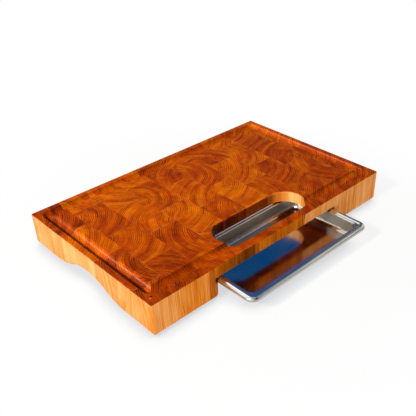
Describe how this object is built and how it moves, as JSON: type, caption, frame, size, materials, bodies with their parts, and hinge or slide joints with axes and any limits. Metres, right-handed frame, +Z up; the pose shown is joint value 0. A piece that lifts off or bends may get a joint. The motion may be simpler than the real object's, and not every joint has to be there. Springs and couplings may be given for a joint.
{
  "type": "cutting board with drawer tray",
  "caption": "End-grain cutting board with a juice groove, finger grips and a scrape slot that opens onto a shallow steel tray sliding out from under it.",
  "frame": {"origin": "middle of the whole object's base, with the tray pulled out as in the picture", "axes": "+Z up, -Y towards the front where the tray slides out, +X along the board, to the right when facing the tray"},
  "size_m": [0.508, 0.3874, 0.059],
  "materials": {
    "end_grain_dark": "oiled, semi-gloss",
    "end_grain_mid": "oiled, semi-gloss",
    "end_grain_light": "oiled, semi-gloss",
    "tray_steel": "bright stainless"
  },
  "bodies": {
    "board": {"block_01a": "end_grain_mid", "block_01b": "end_grain_mid", "block_01c": "end_grain_dark", "block_01d": "end_grain_mid", "block_02a": "end_grain_dark", "block_02b": "end_grain_mid", "block_02c": "end_grain_light", "block_02d": "end_grain_mid", "block_03a": "end_grain_mid", "block_03b": "end_grain_light", "block_03c": "end_grain_mid", "block_03d": "end_grain_dark", "block_04a": "end_grain_mid", "block_04b": "end_grain_dark", "block_04c": "end_grain_mid", "block_04d": "end_grain_light", "block_05a": "end_grain_dark", "block_05b": "end_grain_mid", "block_05c": "end_grain_light", "block_05d": "end_grain_mid", "block_06a": "end_grain_mid", "block_06b": "end_grain_light", "block_06c": "end_grain_mid", "block_06d": "end_grain_dark", "block_07a": "end_grain_dark", "block_07b": "end_grain_mid", "block_07c": "end_grain_light", "block_07d": "end_grain_mid", "block_08a": "end_grain_mid", "block_08b": "end_grain_dark", "block_08c": "end_grain_mid", "block_08d": "end_grain_dark", "block_09a": "end_grain_mid", "block_09b": "end_grain_mid", "block_09c": "end_grain_dark", "block_09d": "end_grain_mid", "block_10a": "end_grain_dark", "block_10b": "end_grain_mid", "block_10c": "end_grain_dark", "block_10d": "end_grain_mid"},
    "tray": {"tray": "tray_steel"}
  },
  "joints": [
    {"name": "tray_slide", "type": "slide", "parent": "board", "child": "tray", "axis": [0, -1, 0], "range_m": [-0.0705, 0.095]}
  ]
}
